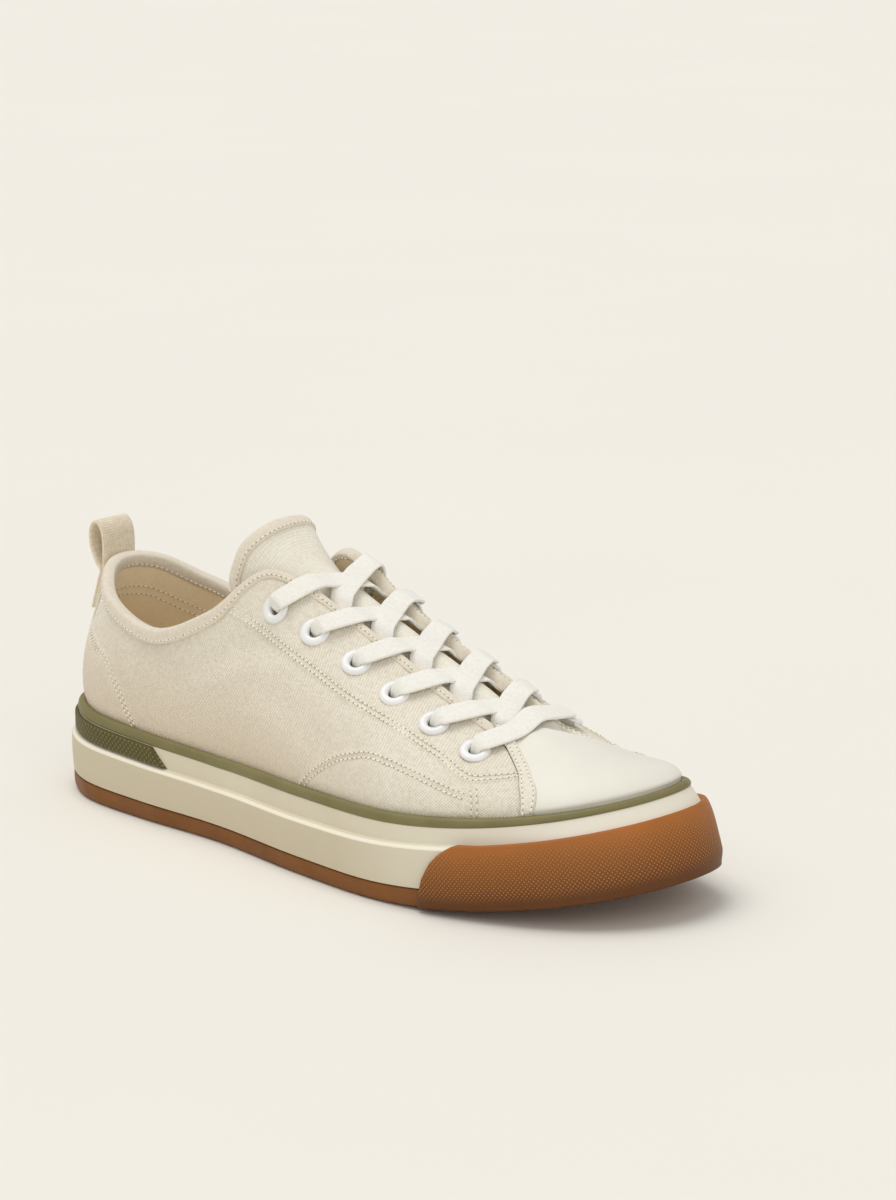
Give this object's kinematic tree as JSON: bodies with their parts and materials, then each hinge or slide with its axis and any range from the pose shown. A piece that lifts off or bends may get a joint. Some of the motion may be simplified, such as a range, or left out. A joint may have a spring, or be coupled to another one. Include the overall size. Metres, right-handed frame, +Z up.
{
  "type": "canvas sneaker",
  "caption": "Low canvas sneaker for the right foot, laced, with a rubber cup sole, a toe guard, a bound collar and throat, a tongue and a pull loop at the heel.",
  "frame": {"origin": "on the floor, under the middle of the shoe's length and width", "axes": "+X from the heel to the toe, +Y to the inner side of the foot, +Z up"},
  "size_m": [0.2934, 0.1056, 0.118],
  "materials": {
    "canvas": "natural plain-weave cotton canvas",
    "tape": "woven cotton tape",
    "smooth_cloth": "smooth, lightly coated cloth",
    "cream_rubber": "satin cream rubber",
    "gum_rubber": "gum rubber, fine dots on the toe guard",
    "olive_rubber": "satin olive rubber",
    "dark_olive_rubber": "dark olive rubber with raised dots",
    "lining": "tan cotton lining",
    "eyelet_enamel": "white enamelled, rolled edge",
    "lace": "flat woven cotton lace"
  },
  "bodies": {
    "root": {"outsole": "gum_rubber", "midsole": "cream_rubber", "foxing_bead": "olive_rubber", "heel_band": "dark_olive_rubber", "toe_guard": "gum_rubber", "insole": "lining", "upper": "canvas", "toe_cap": "smooth_cloth", "binding": "tape", "back_stay": "tape", "tongue": "canvas", "pull_loop": "tape", "eyelet_outer_1": "eyelet_enamel", "eyelet_outer_2": "eyelet_enamel", "eyelet_outer_3": "eyelet_enamel", "eyelet_outer_4": "eyelet_enamel", "eyelet_outer_5": "eyelet_enamel", "eyelet_outer_6": "eyelet_enamel", "eyelet_inner_1": "eyelet_enamel", "eyelet_inner_2": "eyelet_enamel", "eyelet_inner_3": "eyelet_enamel", "eyelet_inner_4": "eyelet_enamel", "eyelet_inner_5": "eyelet_enamel", "eyelet_inner_6": "eyelet_enamel", "lace_bar": "lace", "lace_crossing_2": "lace", "lace_crossing_3": "lace", "lace_crossing_4": "lace", "lace_crossing_5": "lace", "lace_crossing_6": "lace"}
  },
  "joints": []
}
